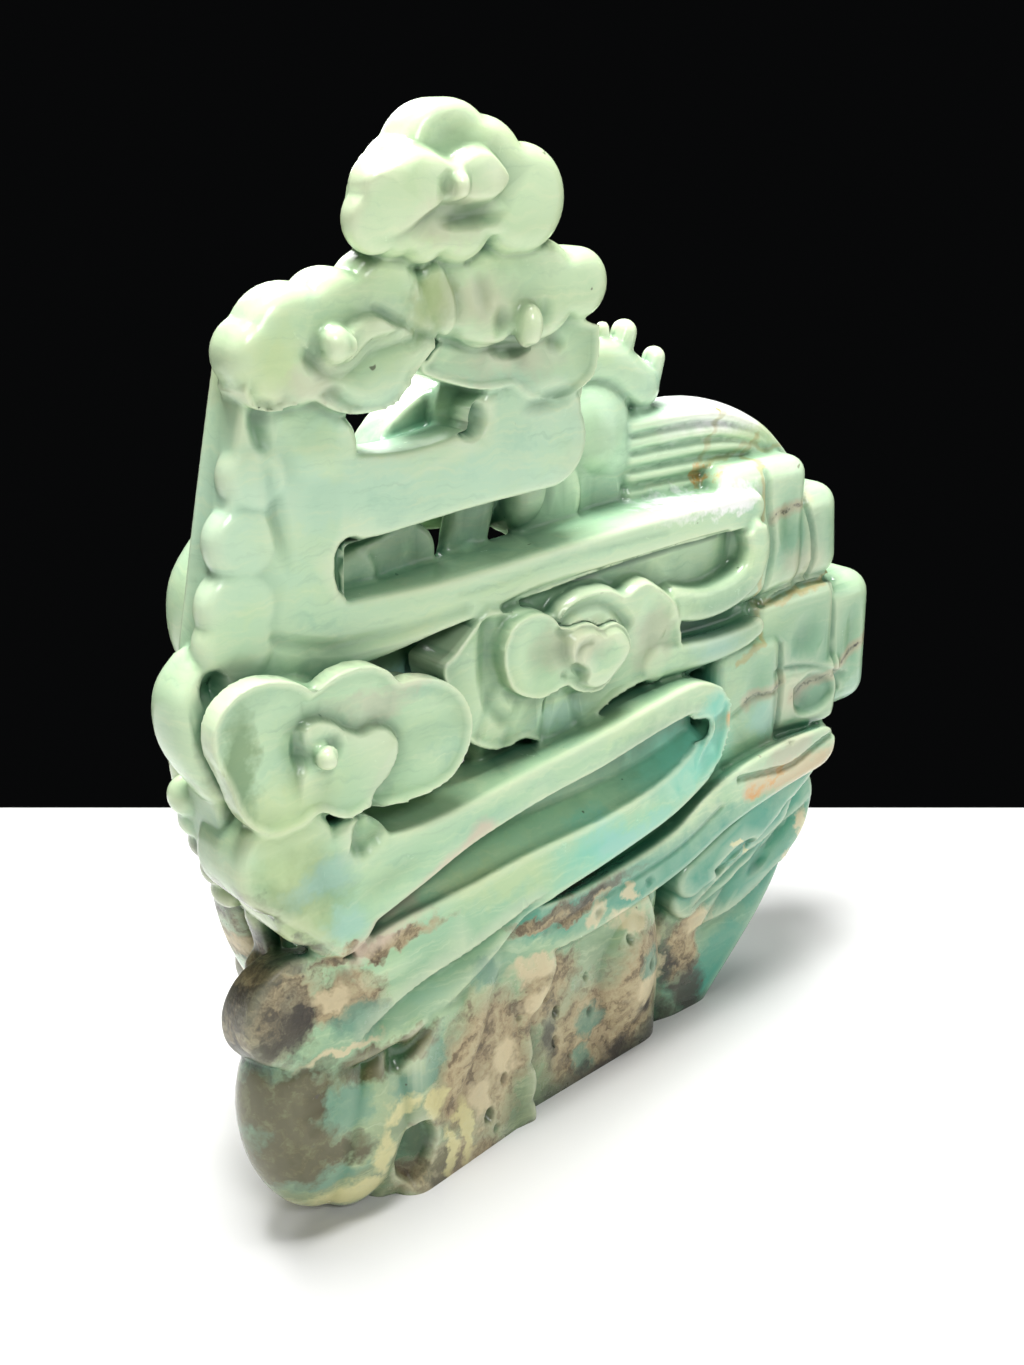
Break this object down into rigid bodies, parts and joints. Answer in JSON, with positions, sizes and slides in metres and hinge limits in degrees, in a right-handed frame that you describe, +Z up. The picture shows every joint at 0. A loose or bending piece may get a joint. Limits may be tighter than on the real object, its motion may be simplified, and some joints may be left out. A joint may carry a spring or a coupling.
{
  "type": "dragon cloud carving",
  "caption": "Openwork stone carving of a dragon among scalloped clouds and stepped rock, cut from one slab and standing on its flat underside.",
  "frame": {"origin": "on the flat underside, below the middle of the standing slab", "axes": "+X along the slab, to the right as seen from the cloud side; -Y out of the cloud side and +Y out of the dragon side; +Z up"},
  "size_m": [0.1451, 0.0466, 0.1551],
  "materials": {
    "banded_calcite": "polished"
  },
  "bodies": {
    "root": {"dragon_cloud_carving": "banded_calcite"}
  },
  "joints": []
}
